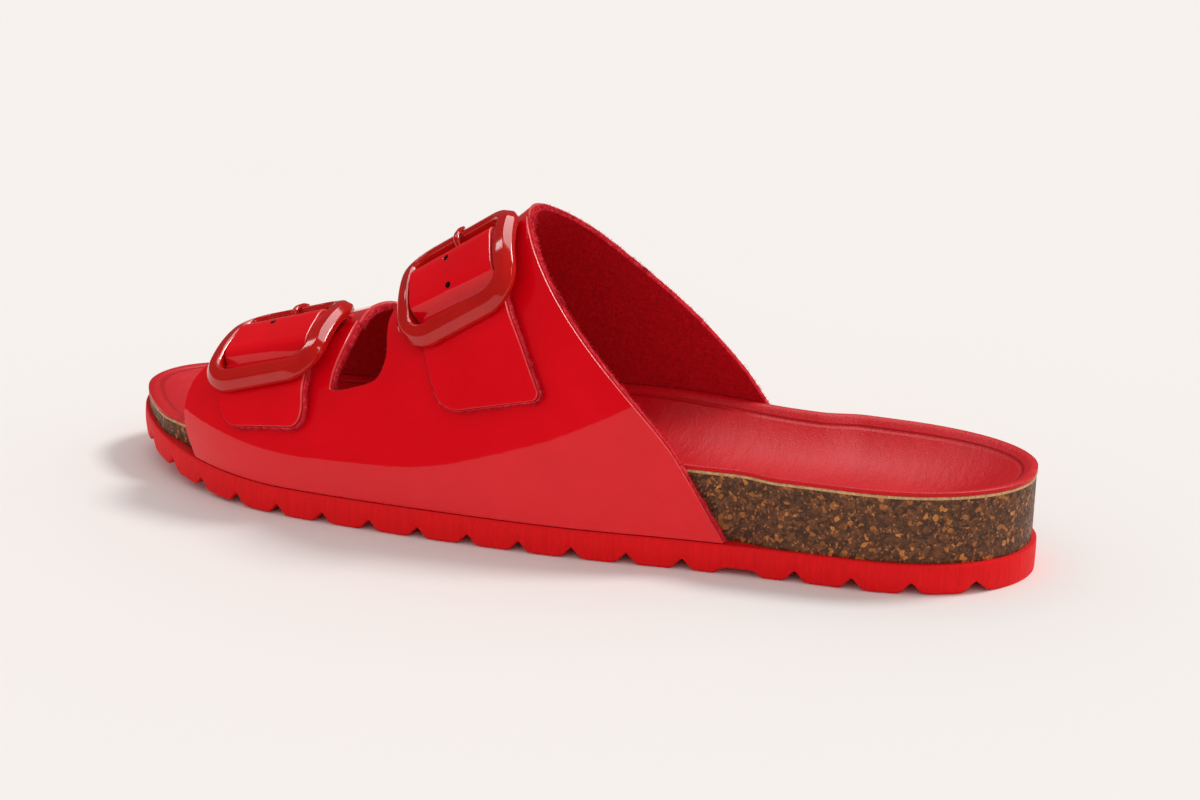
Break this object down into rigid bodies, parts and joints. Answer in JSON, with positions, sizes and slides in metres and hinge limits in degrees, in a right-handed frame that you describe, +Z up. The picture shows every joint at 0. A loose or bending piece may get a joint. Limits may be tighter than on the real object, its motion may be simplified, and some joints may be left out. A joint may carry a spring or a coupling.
{
  "type": "sandal",
  "caption": "Left slip-on sandal: cork footbed on a lugged sole under two wide straps, each closed by a large square buckle.",
  "frame": {"origin": "middle of the shoe's outline, on the floor", "axes": "+X from the toe to the heel, +Y from the lateral to the medial side, +Z up"},
  "size_m": [0.2568, 0.0834, 0.0811],
  "materials": {
    "outsole": "matt foamed rubber, ground sides",
    "cork": "ground granulated cork",
    "insole": "satin leather",
    "upper": "patent gloss outside, felt inside",
    "buckle": "glossy enamel"
  },
  "bodies": {
    "root": {"outsole": "outsole", "cork_footbed": "cork", "insole": "insole", "upper": "upper", "buckle_front": "buckle", "prong_front": "buckle", "buckle_rear": "buckle", "prong_rear": "buckle"}
  },
  "joints": []
}
